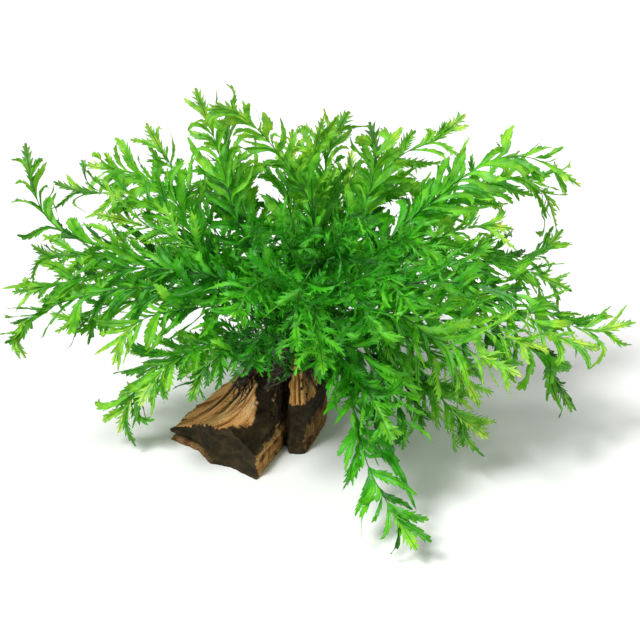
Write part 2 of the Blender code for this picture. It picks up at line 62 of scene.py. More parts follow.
HEART = Vector((8, 10, 0)) * MM  # middle of the crown, seen from above
FINE = 5  # steps from one station of a rachis to the next
ENTIRE = 0.16  # toothless foot of a blade, as a share of its length
BETWEEN = 0.75  # chance of a smaller leaflet between two
MIDDLE_HEIGHT = 130 * MM  # leaves above it catch more light and are paler, those below are darker
NARROW = 1.8 * MM  # a blade with less half width has fewer columns of points
THINNEST, WIDEST = 1.3 * MM, 4.6 * MM  # half widths of leaflets
BUILDS = (0.08, 0.1, 0.115, 0.135, 0.16)  # a leaflet's half width, as a share of its length
COURSE_STEPS = 14  # from a leaflet's foot to its tip
RACHIS_FOOT, RACHIS_LOSS = 0.68, 0.46  # a rachis's radius at its foot and how much less its tip has, in mm
RACHIS_SIDES = 6
LOWEST = 1 * MM
DOWN = Vector((0, 0, -1))

# A tooth of a blade is a notch, a shoulder and a point
BEATS = (0.0, 0.42, 0.78)  # where each lies along the tooth
NOTCH_CUT, SHOULDER_CUT = -0.66, -0.1  # how far the deepest teeth are cut in, as a share of the half width
NOTCH_LEAN, SHOULDER_LEAN, POINT_LEAN = -0.2, 0.5, 1.5  # how far they lean forward, in thirds of a tooth
SMOOTH, TOOTHED = 0.34, 0.66  # shares of the half width, beside the midrib and from there to the edge
SWEEP = 0.45  # how far a blade's edge runs ahead of its midrib, as a share of its half width

# The fine roots, in number and in mm
ROOTS = 150
AIRBORNE = 4  # steps after which a root that hasn't met the wood ends
ROOT_STEP = 1.9
ROOT_LIE = 0.35  # how high a root's middle lies on the wood
ROOT_DROP, ROOT_STRAY = 0.3, 0.35  # how hard a root turns down and to the sides at each step
ROOT_SIDES = 5

NOISE_SEED = 5
FLOOR_HALF = 6  # in m

# The wood's grained tops and the broken hollow between its limbs, in plan, in mm
TAN_TOP = [
    (-92, -22), (-57, -38), (-43, -50), (-36, -44), (-31, -42), (-24, -41), (-20, -34), (-18, -22), (-20, 0),
    (-14, 24), (-8, 60), (-92, 60),
]
GROOVED_TOP = [(-6, -24), (4, -32), (20, -34), (25, -22), (34, 60), (2, 60), (0, -4)]
HOLLOW = [(-18, -30), (-5, -30), (-1, 0), (-6, 10), (-15, 0)]
POLE = (12, 14)  # the grain of the tops runs out from here, in mm
TIP_FROM, TIP_STRETCH = -55, 0.2  # the left limb's tip is drawn out from this x, in mm, by this share


# Meshes


class Sheet:
    """Points with a colour guide each, and faces with a material number each, gathered for a mesh."""

    def __init__(self):
        self.points = []
        self.guides = []
        self.faces = []
        self.slots = []

    def add(self, points, guides, faces, slot=0):
        start = len(self.points)
        self.points.extend(points)
        self.guides.extend(guides)
        self.faces.extend(tuple(start + index for index in face) for face in faces)
        self.slots.extend([slot] * len(faces))

    def piece(self, name, materials):
        mesh = bpy.data.meshes.new(name)
        mesh.from_pydata(self.points, [], self.faces)
        for material in materials:
            mesh.materials.append(material)
        mesh.polygons.foreach_set("material_index", self.slots)
        guide = mesh.color_attributes.new("guide", "FLOAT_COLOR", "POINT")
        guide.data.foreach_set("color", np.array(self.guides, np.float32).ravel())
        mesh.shade_smooth()
        piece = bpy.data.objects.new(name, mesh)
        bpy.context.scene.collection.objects.link(piece)
        return piece


def grid_faces(rows, columns, closed=False):
    """Quads of a grid of points, row by row. A closed grid joins its last column to its first."""
    faces = []
    for row in range(rows - 1):
        for column in range(columns if closed else columns - 1):
            after = (column + 1) % columns
            low, high = row * columns, (row + 1) * columns
            faces.append((low + column, low + after, high + after, high + column))
    return faces


# Reading the fronds' solids


def welded(mesh):
    """Points of an imported mesh without doubles, and the set of each one's neighbours."""
    numbers = {}
    points = []
    index_of = []
    for vertex in mesh.vertices:
        key = tuple(round(value * 1e6) for value in vertex.co)
        if key not in numbers:
            numbers[key] = len(points)
            points.append(vertex.co.copy())
        index_of.append(numbers[key])
    linked = [set() for _ in points]
    for edge in mesh.edges:
        a, b = index_of[edge.vertices[0]], index_of[edge.vertices[1]]
        if a != b:
            linked[a].add(b)
            linked[b].add(a)
    return points, linked


class Layout:
    """A frond's rachis stations, the blade's normal at each, and its leaflets, read from its solid."""

    def __init__(self, mesh):
        points, linked = welded(mesh)
        rows = self.find_rows(points, linked)
        row_of = {index: number for number, row in enumerate(rows) for index in row}
        loose = [index for index in range(len(points)) if index not in row_of]
        apex = next(i for i in loose if len({row_of.get(j) for j in linked[i]}) == 1)
        order = [row_of[next(iter(linked[apex]))]]
        while len(order) < len(rows):
            here = rows[order[-1]]
            near = {row_of[j] for i in here for j in linked[i] if j in row_of} - set(order)
            order.append(near.pop())
        order.reverse()
        place = {number: station for station, number in enumerate(order)}
        self.centres = [(points[rows[n][0]] + points[rows[n][1]]) / 2 for n in order]
        self.tip = points[apex]
        self.normals = []
        self.face_out(points, [rows[n] for n in order])
        self.leaflets = []
        for index in loose:
            if index == apex:
                continue
            station = min(place[row_of[j]] for j in linked[index])
            self.leaflets.append((station, points[index]))
        self.leaflets.sort(key=lambda leaflet: (leaflet[0], tuple(leaflet[1])))

    @staticmethod
    def find_rows(points, linked):
        """Each row's top and bottom point, then its two side points."""
        rows = []
        cloud = np.array([tuple(point) for point in points])
        gaps = np.linalg.norm(cloud[:, None] - cloud[None], axis=2)
        np.fill_diagonal(gaps, 1)
        nearest = gaps.argmin(axis=1)
        for index, other in enumerate(nearest):
            if nearest[other] != index or index > other or gaps[index, other] > 1.6 * MM:
                continue
            shared = [j for j in linked[index] & linked[other] if gaps[index, j] < 2 * MM]
            if len(shared) == 2:
                rows.append((index, int(other), *shared))
        return rows

    def face_out(self, points, rows):
        """Normals that look the same way all along, up and towards the viewer or away from the crown."""
        outward = Vector((self.tip.x - HEART.x, self.tip.y - HEART.y, 0)).normalized()
        facing = Vector((0, 0, 0.55)) + outward * 0.3
        if self.tip.y < 110 * MM:
            facing += BACKWARD * 0.6
        before = facing
        normals = []
        for row in reversed(rows):
            normal = (points[row[0]] - points[row[1]]).normalized()
            if normal.dot(before) < 0:
                normal = -normal
            normals.append(normal)
            before = normal
        self.normals = list(reversed(normals))


# Smooth courses


def spline(places, steps):
    """A smooth curve through places (an array of rows), with that many steps from each to the next."""
    padded = np.vstack([2 * places[0] - places[1], places, 2 * places[-1] - places[-2]])
    t = np.linspace(0, 1, steps, endpoint=False)[:, None]
    parts = []
    for i in range(1, len(padded) - 2):
        a, b, c, d = padded[i - 1 : i + 3]
        parts.append(
            0.5 * (2 * b + (c - a) * t + (2 * a - 5 * b + 4 * c - d) * t**2 + (3 * b - a - 3 * c + d) * t**3)
        )
    parts.append(places[-1:])
    return np.vstack(parts)


def unit(rows):
    """Each row of an array scaled to length 1."""
    return rows / np.maximum(np.linalg.norm(rows, axis=-1, keepdims=True), 1e-9)


def tangents(places):
    return unit(np.gradient(places, axis=0))


def tube(places, normals, radii, sides):
    """Points and faces of a tapering tube, open at its foot and drawn to a point at its end."""
    ways = tangents(places)
    up = unit(normals - ways * (normals * ways).sum(1, keepdims=True))
    across = np.cross(ways, up)
    angles = np.arange(sides) * math.tau / sides
    ring = across[:, None] * np.cos(angles)[None, :, None] + up[:, None] * np.sin(angles)[None, :, None]
    points = places[:, None] + ring * radii[:, None, None]
    return points.reshape(-1, 3), grid_faces(len(places), sides, closed=True)


# Leaves


def tooth_rows(teeth, chance):
    """Where each row of a blade lies along it, and its beat in a tooth: 0 notch, 1 shoulder, 2 point."""
    sizes = [chance.uniform(0.7, 1.35) for _ in range(teeth)]
    scale = (1 - ENTIRE) / sum(sizes)
    along, beats = [0.0, ENTIRE / 2], [1, 1]
    at = ENTIRE
    for size in sizes:
        for beat, share in enumerate(BEATS):
            along.append(at + size * scale * share)
            beats.append(beat)
        at += size * scale
    return np.array([*along, 1.0]), np.array([*beats, 1])


def outline(along, peak, base):
    """Half width along a blade, as a share of its widest: a narrow foot, widest at the peak, then a point."""
    rise = base + (1 - base) * np.sin(np.pi / 2 * np.minimum(along / peak, 1)) ** 1.15
    fall = np.cos(np.pi / 2 * np.clip((along - peak) / (1 - peak), 0, 1)) ** 0.62
    return np.where(along < peak, rise, fall)


def blade(course, normals, half_width, teeth, chance, lobes, base=0.16):
    """A toothed, wavy blade along a course.

    half_width is its widest, lobes is how deep the teeth cut, 0 to 1. It returns points, how far each is
    from the midrib (0 to 1) and along it, and faces."""
    along, beats = tooth_rows(teeth, chance)
    half = 3 if half_width > NARROW else 2
    rows, columns = len(along), 2 * half + 1
    span = along * (len(course) - 1)
    index = np.minimum(span.astype(int), len(course) - 2)
    part = (span - index)[:, None]
    middle = course[index] * (1 - part) + course[index + 1] * part
    ways = tangents(middle)
    raw = normals[index] * (1 - part) + normals[index + 1] * part
    up = unit(raw - ways * (raw * ways).sum(1, keepdims=True))
    across = np.cross(ways, up)
    length = np.linalg.norm(np.diff(course, axis=0), axis=1).sum()
    pitch = length * (1 - ENTIRE) / teeth / 3
    widths = half_width * outline(along, chance.uniform(0.46, 0.66), base)
    swell = np.minimum(1, widths / half_width)
    ripple = chance.uniform(0.12, 0.42) * half_width
    speed = chance.uniform(1.2, 3)
    phase = chance.uniform(0, math.tau)
    fold = math.radians(chance.uniform(-8, 34))
    points = np.zeros((rows, columns, 3))
    spread = np.zeros((rows, columns))
    for side in (1, -1):
        depth = np.array([chance.uniform(0.65, 1.2) for _ in range(rows)]) * lobes
        point = 0.3 + 0.7 * np.maximum(0, depth - 0.55)
        cut = np.select([beats == 0, beats == 1], [NOTCH_CUT, SHOULDER_CUT], point) * depth
        lean = np.select([beats == 0, beats == 1], [NOTCH_LEAN, SHOULDER_LEAN], POINT_LEAN)
        lean = lean * pitch * (0.35 + depth * 0.75)
        if side < 0:
            cut, lean = np.roll(cut, 1), np.roll(lean, 1)
            cut[:2] = lean[:2] = 0
        lean[:2] = cut[:2] = 0
        for step in range(1, half + 1):
            reach = step / half
            edge = max(0, reach - SMOOTH) / TOOTHED
            width = widths * reach * (1 + cut * edge**1.4)
            shift = lean * edge**1.4 * swell + SWEEP * width * reach
            shift = np.minimum(shift, (1 - along) * length * 0.9)
            wave = ripple * reach**2 * np.sin(phase + speed * math.tau * along + side * 1.1) * swell
            points[:, half + side * step] = (
                middle
                + across * (side * width * math.cos(fold))[:, None]
                + ways * shift[:, None]
                + up * (width * math.sin(fold) + wave)[:, None]
            )
            spread[:, half + side * step] = reach
    points[:, half] = middle
    return points.reshape(-1, 3), spread.ravel(), np.repeat(along, columns), grid_faces(rows, columns)


def leaflet_course(root, tip, way, normal, chance):
    """The curved midrib of a leaflet, and its normals: it leaves along the rachis and bows outwards."""
    reach = (tip - root).length
    straight = (tip - root).normalized()
    bow = chance.uniform(0.15, 0.6)
    hook = chance.gauss(0.05, 0.3)
    lift = chance.gauss(0, 0.3)
    first = root + way * reach * bow + straight * reach * 0.12 + normal * reach * chance.gauss(0, 0.12)
    second = tip - straight * reach * 0.36 + way * reach * hook + normal * reach * lift
    beyond = tip + (tip - second) * chance.uniform(0.1, 0.6) + DOWN * reach * chance.uniform(0, 0.2)
    if beyond.z < LOWEST:
        beyond = tip
    points = []
    for step in range(COURSE_STEPS + 1):
        t = step / COURSE_STEPS
        points.append(
            root * (1 - t) ** 3 + first * 3 * t * (1 - t) ** 2 + second * 3 * t**2 * (1 - t) + beyond * t**3
        )
    roll, twist = math.radians(chance.gauss(0, 20)), math.radians(chance.gauss(0, 65))
    normals = []
    for step in range(COURSE_STEPS + 1):
        normals.append(Matrix.Rotation(roll + twist * step / COURSE_STEPS, 3, straight) @ normal)
    return np.array(points), np.array(normals)


class Foliage:
    """The leaflets of one frond, gathered on a sheet."""

    def __init__(self, name, layout):
        self.chance = random.Random(name)
        self.layout = layout
        self.sheet = Sheet()
        self.tone = self.chance.random()
        self.inner = name.startswith("frond_inner")
        self.front = name.startswith("frond_front")
        self.end_lightness = 0.5 if self.inner else 0.7 if self.front else 1  # how light the end of the frond turns: the inner and front fronds' ends stay darker, as painted shade
        self.finely_cut = "inner" in name or "short" in name or name.endswith(("low", "middle", "under"))
        self.lobes = self.chance.uniform(0.85, 1.15) if self.finely_cut else self.chance.uniform(0.3, 0.75)
        self.slim = self.chance.uniform(0.74, 1.05) * (1.35 if "back" in name else 1.2 if self.front else 1)
        self.between = 1 if self.finely_cut or "back" in name else BETWEEN
        self.fine = spline(np.array([*layout.centres, layout.tip]), FINE)
        self.fine_normals = unit(spline(np.array([*layout.normals, layout.normals[-1]]), FINE))
        self.last = len(layout.centres) - 1

    def rachis(self):
        share = np.linspace(0, 1, len(self.fine))
        radii = (RACHIS_FOOT - RACHIS_LOSS * share) * MM
        points, faces = tube(self.fine, self.fine_normals, radii, RACHIS_SIDES)
        guides = [(0, along, self.tone, 1) for along in np.repeat(share, RACHIS_SIDES)]
        self.sheet.add(points.tolist(), guides, faces, 1)

    def leaflet(self, at, tip):
        """A leaflet from that place along the rachis, in stations, to a tip."""
        chance = self.chance
        number = min(len(self.fine) - 2, max(0, round(at * FINE)))
        start = Vector(self.fine[number])
        way = (Vector(self.fine[number + 1]) - start).normalized()
        normal = Vector(self.fine_normals[number])
        course, normals = leaflet_course(start, tip, way, normal, chance)
        reach = (tip - start).length
        pitch = chance.uniform(2.9, 4.2) if self.finely_cut else chance.uniform(4.2, 6.2)
        teeth = max(3, min(9, round(reach / (pitch * MM))))
        build = chance.choice(BUILDS) * chance.uniform(0.9, 1.1)
        slim = self.slim * (0.82 if self.inner else 1)
        width = max(THINNEST, min(WIDEST, reach * build * slim))
        lobes = self.lobes * chance.uniform(0.7, 1.25)
        points, spread, along, faces = blade(course, normals, width, teeth, chance, lobes)
        # Leaflets higher than MIDDLE_HEIGHT get a paler colour as painted light, and lower ones a darker
        # colour as painted shade; the rest of the value is random tone.
        lit = (tip.z - MIDDLE_HEIGHT) / (2 * MIDDLE_HEIGHT)
        tone_and_painted_light = min(1, max(0, self.tone * 0.5 + chance.uniform(-0.15, 0.6) + 0.6 * lit))
        place = at / self.last * self.end_lightness
        guides = []
        for across, far in zip(spread, along):
            guides.append((across, place * 0.7 + 0.3 * self.end_lightness * far, tone_and_painted_light, far))
        self.sheet.add(points.tolist(), guides, faces, 0)

    def pinnae(self):
        """A leaflet to each leaflet's tip of the solid, and smaller ones between them."""
        sides = {1: [], -1: []}
        for station, tip in self.layout.leaflets:
            way = Vector(self.fine[station * FINE + 1] - self.fine[station * FINE]).normalized()
            across = way.cross(Vector(self.fine_normals[station * FINE]))
            root = Vector(self.fine[station * FINE + 1])
            sides[1 if (tip - root).dot(across) > 0 else -1].append((station, root, tip))
            self.leaflet(station + 0.2, tip)
        for found in sides.values():
            for (station, root, tip), (after, next_root, next_tip) in zip(found, found[1:]):
                if after != station + 1 or self.chance.random() > self.between:
                    continue
                reach = ((tip - root) + (next_tip - next_root)) / 2
                start = Vector(self.fine[station * FINE + 3])
                turn = Matrix.Rotation(self.chance.uniform(-0.6, 0.6), 3, (next_root - root).normalized())
                self.leaflet(station + 0.65, start + turn @ reach * self.chance.uniform(0.55, 0.95))

    def small_leaflets(self, last, share):
        """Small leaflets all around the upper stalk and the blade, as far as that station."""
        for step in range(int(FINE * 0.9), last * FINE + 1, 2):
            for side in (1, -1):
                if self.chance.random() > share:
                    continue
                way = Vector(self.fine[step + 1] - self.fine[step]).normalized()
                normal = Vector(self.fine_normals[step])
                fold = self.chance.uniform(-1.1, 1.1)
                out = way.cross(normal) * side * math.cos(fold) + normal * math.sin(fold)
                reach = self.chance.uniform(9, 24) * MM * self.slim
                tip = Vector(self.fine[step]) + (way * 0.75 + out * 0.8).normalized() * reach
                self.leaflet(step / FINE, tip)

    def end(self):
        """The frond's lobed end."""
        chance = self.chance
        foot = max(0, (self.last - 1) * FINE - 2)
        course = self.fine[foot:]
        length = np.linalg.norm(np.diff(course, axis=0), axis=1).sum()
        teeth = max(4, round(length / (5.4 * MM)))
        width = chance.uniform(3, 4.4) * MM
        normals = self.fine_normals[foot:]
        points, spread, along, faces = blade(course, normals, width, teeth, chance, lobes=0.95, base=0.25)
        guides = []
        for across, far in zip(spread, along):
            guides.append((across, (0.85 + 0.15 * far) * self.end_lightness, self.tone, far))
        self.sheet.add(points.tolist(), guides, faces, 0)


def dressed_frond(name, solid, materials):
    """One frond: a rachis, toothed leaflets and a lobed end, in place of its solid."""
    foliage = Foliage(name, Layout(solid.data))
    foliage.rachis()
    foliage.pinnae()
    if foliage.inner:
        foliage.small_leaflets(foliage.last, 0.8)
    elif "left" in name or "front" in name or "inner" in name:
        foliage.small_leaflets(5, 0.75)
    elif "back" in name:
        foliage.small_leaflets(8, 0.9)
    else:
        foliage.small_leaflets(4, 0.7)
    foliage.end()
    piece = foliage.sheet.piece(name.replace("frond", "fern"), materials)
    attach(piece, "root")
    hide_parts(name)


# Driftwood and rhizome


def joined(names):
    """One mesh of those nodes' solids."""
    points, faces = [], []
    for name in names:
        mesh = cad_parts[name].data
        start = len(points)
        points.extend(vertex.co.copy() for vertex in mesh.vertices)
        faces.extend(tuple(start + index for index in polygon.vertices) for polygon in mesh.polygons)
    return points, faces


def remeshed(name, points, faces, voxel, smooth):
    """An even mesh over solids that nearly touch, which closes the gap between them."""
    rough = bpy.data.meshes.new(name + "_rough")
    rough.from_pydata(points, [], faces)
    piece = bpy.data.objects.new(name, rough)
    bpy.context.scene.collection.objects.link(piece)
    remesh = piece.modifiers.new("Even", "REMESH")
    remesh.mode = "VOXEL"
    remesh.voxel_size = voxel
    relax = piece.modifiers.new("Relax", "SMOOTH")
    relax.factor = 0.5
    relax.iterations = smooth
    bpy.context.view_layer.update()
    even = piece.evaluated_get(bpy.context.evaluated_depsgraph_get())
    mesh = bpy.data.meshes.new_from_object(even)
    piece.modifiers.clear()
    piece.data = mesh
    bpy.data.meshes.remove(rough)
    return piece


def fractal(place, size, octaves=4):
    """Noise between about -1 and 1 whose features are that size."""
    return noise.fractal(place / size, 0.9, 2.0, octaves, noise_basis="PERLIN_ORIGINAL")


def smoothed(value, low, high):
    """0 below low, 1 above high and a smooth rise between them."""
    t = min(1, max(0, (value - low) / (high - low)))
    return t * t * (3 - 2 * t)


def inside(x, y, corners):
    """How far a place is inside a polygon in plan, negative outside it, in mm."""
    nearest = 1e9
    within = False
    for (ax, ay), (bx, by) in zip(corners, corners[1:] + corners[:1]):
        along = ((x - ax) * (bx - ax) + (y - ay) * (by - ay)) / ((bx - ax) ** 2 + (by - ay) ** 2)
        along = min(1, max(0, along))
        nearest = min(nearest, math.hypot(x - ax - (bx - ax) * along, y - ay - (by - ay) * along))
        if (ay > y) != (by > y) and x < ax + (bx - ax) * (y - ay) / (by - ay):
            within = not within
    return nearest if within else -nearest


def along_grain(spoke, fineness, run, lacunarity, octaves):
    """Noise in lines that run out from the pole. run is how far out the place is, as a vector."""
    return noise.fractal(spoke * fineness + run, 0.8, lacunarity, octaves, noise_basis="PERLIN_ORIGINAL")


def weathered(place, normal, solid):
    """Where a point of the even wood moves to, and its guide: how grained, its painted shade and light
    (darker in the grooves, lighter on the ridges), how red.
    """
    ragged = Vector((fractal(place, 6 * MM), fractal(place + Vector((1, 0, 0)), 6 * MM), 0))
    probe = place + Vector((ragged.x, ragged.y, fractal(place + Vector((0, 1, 0)), 5 * MM))) * 2.2 * MM
    face = solid.find_nearest(probe)[1]
    x, y, z = (value / MM for value in place)
    on_top = smoothed(face.z, 0.36, 0.5)
    wander = ragged.x * 2.5
    tan = smoothed(inside(x, y, TAN_TOP) + wander, -0.6, 0.6) * on_top
    red = smoothed(inside(x, y, GROOVED_TOP) + wander, -0.6, 0.6) * on_top
    grain = max(tan, red)

    east, north = x - POLE[0], y - POLE[1]
    reach = max(1, math.hypot(east, north))
    spoke = Vector((east, north, 0)) / reach
    run = Vector((0, 0, reach / 42))
    ridge = along_grain(spoke, 19, run, 2.1, 4)
    deep = along_grain(spoke, 8, run * 0.5, 2.0, 2)
    strand = along_grain(spoke, 36, run * 2, 2.0, 2)
    splinter = along_grain(spoke, 9, Vector((0, 0, z / 4.5)), 2.0, 4)
    broken = fractal(place, 9 * MM, 5) * 0.9 + splinter * 0.7

    hollow = smoothed(inside(x, y, HOLLOW), -5, 5) * on_top
    side = smoothed(face.x, 0.55, 0.9) * smoothed(21 + ragged.y * 4 - z, 0, 3) * (1 - on_top)
    offset = grain * (ridge * 0.6 + strand * 0.45 + deep * (0.9 if red > tan else 0.4))
    offset += (1 - grain) * broken * 1.1 - (1 - grain) * on_top * 1.6 - hollow * 3.6
    split = smoothed(-x, 48, 60) * (1 - on_top)
    offset -= split * 2.8 * math.exp(-(((z - 5.5 - ragged.y) / 1.1) ** 2))
    if z < 1.5:
        offset = min(offset, 0.4)
    place = place + normal * offset * MM
    if x < TIP_FROM:
        place.x -= (TIP_FROM - x) * TIP_STRETCH * MM
    if z < 4:
        place.z = max(0, place.z if z > 0.8 else 0)

    # Painted shade and light: the colour is darker where the relief noise sinks the surface and lighter on
    # its ridges.
    shade = 0.1 + ridge * 0.5 + strand * 0.5 + deep * 0.4 if grain > 0.5 else broken * 0.6
    shade = min(1, max(0, 0.5 + 0.5 * shade))
    lip = split * smoothed(5 - z, 0, 1) * 0.25
    tanned = max(grain, side * (0.6 if x < 0 else 0.3), lip)
    return place, (tanned, shade, red if grain > 0.5 else side, 1)


def driftwood(material):
    """Both limbs as one piece: grained tops with ragged rims, and dark broken faces below them."""
    limbs = ("driftwood_left_limb", "driftwood_right_limb")
    points, faces = joined(limbs)
    solid = BVHTree.FromPolygons(points, faces)
    piece = remeshed("driftwood", points, faces, 0.8 * MM, 4)
    mesh = piece.data
    moved, guides = [], []
    for vertex in mesh.vertices:
        place, guide = weathered(vertex.co.copy(), vertex.normal.copy(), solid)
        moved.append(place)
        guides.append(guide)
    mesh.vertices.foreach_set("co", np.array(moved, np.float32).ravel())
    attribute = mesh.color_attributes.new("guide", "FLOAT_COLOR", "POINT")
    attribute.data.foreach_set("color", np.array(guides, np.float32).ravel())
    mesh.materials.clear()
    mesh.materials.append(material)
    mesh.shade_smooth()
    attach(piece, "root")
    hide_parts(*limbs)
    return BVHTree.FromPolygons(moved, [tuple(face.vertices) for face in mesh.polygons])


def root_course(start, way, wood, chance):
    """A root that leaves the rhizome, drops onto the wood and creeps down along it."""
    places = [start]
    steps = chance.randint(9, 22)
    for step in range(steps):
        stray = Vector((chance.gauss(0, 1), chance.gauss(0, 1), chance.gauss(0, 0.5))) * ROOT_STRAY
        way = (way + DOWN * ROOT_DROP + stray).normalized()
        place = places[-1] + way * ROOT_STEP * MM
        near, normal, _, gap = wood.find_nearest(place)
        above = (place - near).dot(normal)
        if gap < 3 * MM or above < 0:
            place = near + normal * ROOT_LIE * MM
            way = (way - normal * way.dot(normal)).normalized()
        if place.z < LOWEST or (step == AIRBORNE and gap > 4 * MM):
            break
        places.append(place)
    return places


def rhizome(wood, materials):
    """The creeping stem with its scaly bark, and the fine roots that hold it to the wood."""
    stems = ("rhizome_main", "rhizome_front", "rhizome_back")
    chance = random.Random("roots")
    points, faces = joined(stems)
    rough = remeshed("rhizome_rough", points, faces, 0.7 * MM, 2)
    sheet = Sheet()
    bark, guides, starts = [], [], []
    for vertex in rough.data.vertices:
        scale = fractal(vertex.co, 2.6 * MM, 3)
        bark.append(vertex.co + vertex.normal * (0.9 * scale + 0.5 * fractal(vertex.co, 7 * MM)) * MM)
        guides.append((0, min(1, max(0, 0.5 + 0.6 * scale)), 0, 1))
        if vertex.normal.z < 0.35:
            starts.append((bark[-1], vertex.normal.copy()))
    sheet.add(bark, guides, [tuple(face.vertices) for face in rough.data.polygons], 0)
    mesh = rough.data
    bpy.data.objects.remove(rough)
    bpy.data.meshes.remove(mesh)
    for start, normal in chance.sample(starts, ROOTS):
        places = root_course(start - normal * 0.5 * MM, normal, wood, chance)
        if len(places) < 4:
            continue
        course = spline(np.array(places), 3)
        radii = np.linspace(chance.uniform(0.35, 0.6), 0.12, len(course)) * MM
        normals = np.tile((0.31, 0.2, 0.93), (len(course), 1))
        root, sides = tube(course, normals, radii, ROOT_SIDES)
        shade = chance.random()
        sheet.add(root.tolist(), [(0, shade, 0, 1)] * len(root), sides, 1)
    piece = sheet.piece("rhizome", materials)
    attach(piece, "root")
    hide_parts(*stems)


# Materials


def new_material(name):
    material = bpy.data.materials.new(name)
    material.use_nodes = True
    tree = material.node_tree
    return material, tree, tree.nodes["Principled BSDF"]


def guide_of(tree):
    """The three channels of the mesh's colour guide, as sockets."""
    guide = tree.nodes.new("ShaderNodeAttribute")
    guide.attribute_name = "guide"
    parts = tree.nodes.new("ShaderNodeSeparateColor")
    tree.links.new(guide.outputs["Color"], parts.inputs["Color"])
    return parts.outputs[0], parts.outputs[1], parts.outputs[2]


def ramp(tree, source, stops):
    """A colour ramp driven by a socket. Stops are (place, colour)."""
    node = tree.nodes.new("ShaderNodeValToRGB")
    elements = node.color_ramp.elements
    elements[0].position, elements[0].color = stops[0][0], (*stops[0][1], 1)
    elements[1].position, elements[1].color = stops[-1][0], (*stops[-1][1], 1)
    for place, colour in stops[1:-1]:
        element = elements.new(place)
        element.color = (*colour, 1)
    tree.links.new(source, node.inputs["Fac"])
    return node.outputs["Color"]


def mixed(tree, kind, factor, first, second):
    """A colour mix. factor, first and second are sockets or plain values."""
    node = tree.nodes.new("ShaderNodeMix")
    node.data_type = "RGBA"
    node.blend_type = kind
    for number, value in ((0, factor), (6, first), (7, second)):
        if isinstance(value, bpy.types.NodeSocket):
            tree.links.new(value, node.inputs[number])
        elif number == 0:
            node.inputs[0].default_value = value
        else:
            node.inputs[number].default_value = (*value, 1)
    return node.outputs[2]


def noise_of(tree, scale, detail, roughness=0.55):
    """Noise over the object's own coordinates."""
    place = tree.nodes.new("ShaderNodeTexCoord")
    texture = tree.nodes.new("ShaderNodeTexNoise")
    texture.inputs["Scale"].default_value = scale
    texture.inputs["Detail"].default_value = detail
    texture.inputs["Roughness"].default_value = roughness
    tree.links.new(place.outputs["Object"], texture.inputs["Vector"])
    return texture.outputs["Fac"]


def streaks_of(tree, fineness, length):
    """Noise in thin streaks that run out from the pole of the wood's grain."""
    place = tree.nodes.new("ShaderNodeTexCoord")
    level = tree.nodes.new("ShaderNodeVectorMath")
    level.operation = "MULTIPLY_ADD"
    level.inputs[1].default_value = (1, 1, 0)
    level.inputs[2].default_value = (-POLE[0] * MM, -POLE[1] * MM, 0)
    tree.links.new(place.outputs["Object"], level.inputs[0])
    steps = []
    for operation in ("NORMALIZE", "LENGTH"):
        step = tree.nodes.new("ShaderNodeVectorMath")
        step.operation = operation
        tree.links.new(level.outputs["Vector"], step.inputs[0])
        steps.append(step)
    out = tree.nodes.new("ShaderNodeCombineXYZ")
    along = tree.nodes.new("ShaderNodeMath")
    along.operation = "DIVIDE"
    along.inputs[1].default_value = length / fineness
    tree.links.new(steps[1].outputs["Value"], along.inputs[0])
    tree.links.new(along.outputs["Value"], out.inputs["Z"])
    both = tree.nodes.new("ShaderNodeVectorMath")
    both.operation = "MULTIPLY_ADD"
    both.inputs[1].default_value = (fineness, fineness, 0)
    tree.links.new(steps[0].outputs["Vector"], both.inputs[0])
    tree.links.new(out.outputs["Vector"], both.inputs[2])
    texture = tree.nodes.new("ShaderNodeTexNoise")
    texture.inputs["Scale"].default_value = 1
    texture.inputs["Detail"].default_value = 4
    texture.inputs["Roughness"].default_value = 0.6
    tree.links.new(both.outputs["Vector"], texture.inputs["Vector"])
    return texture.outputs["Fac"]


def bumped(tree, shader, height, distance, strength):
    """Relief too fine for the mesh."""
    bump = tree.nodes.new("ShaderNodeBump")
    bump.inputs["Strength"].default_value = strength
    bump.inputs["Distance"].default_value = distance
    tree.links.new(height, bump.inputs["Height"])
    tree.links.new(bump.outputs["Normal"], shader.inputs["Normal"])


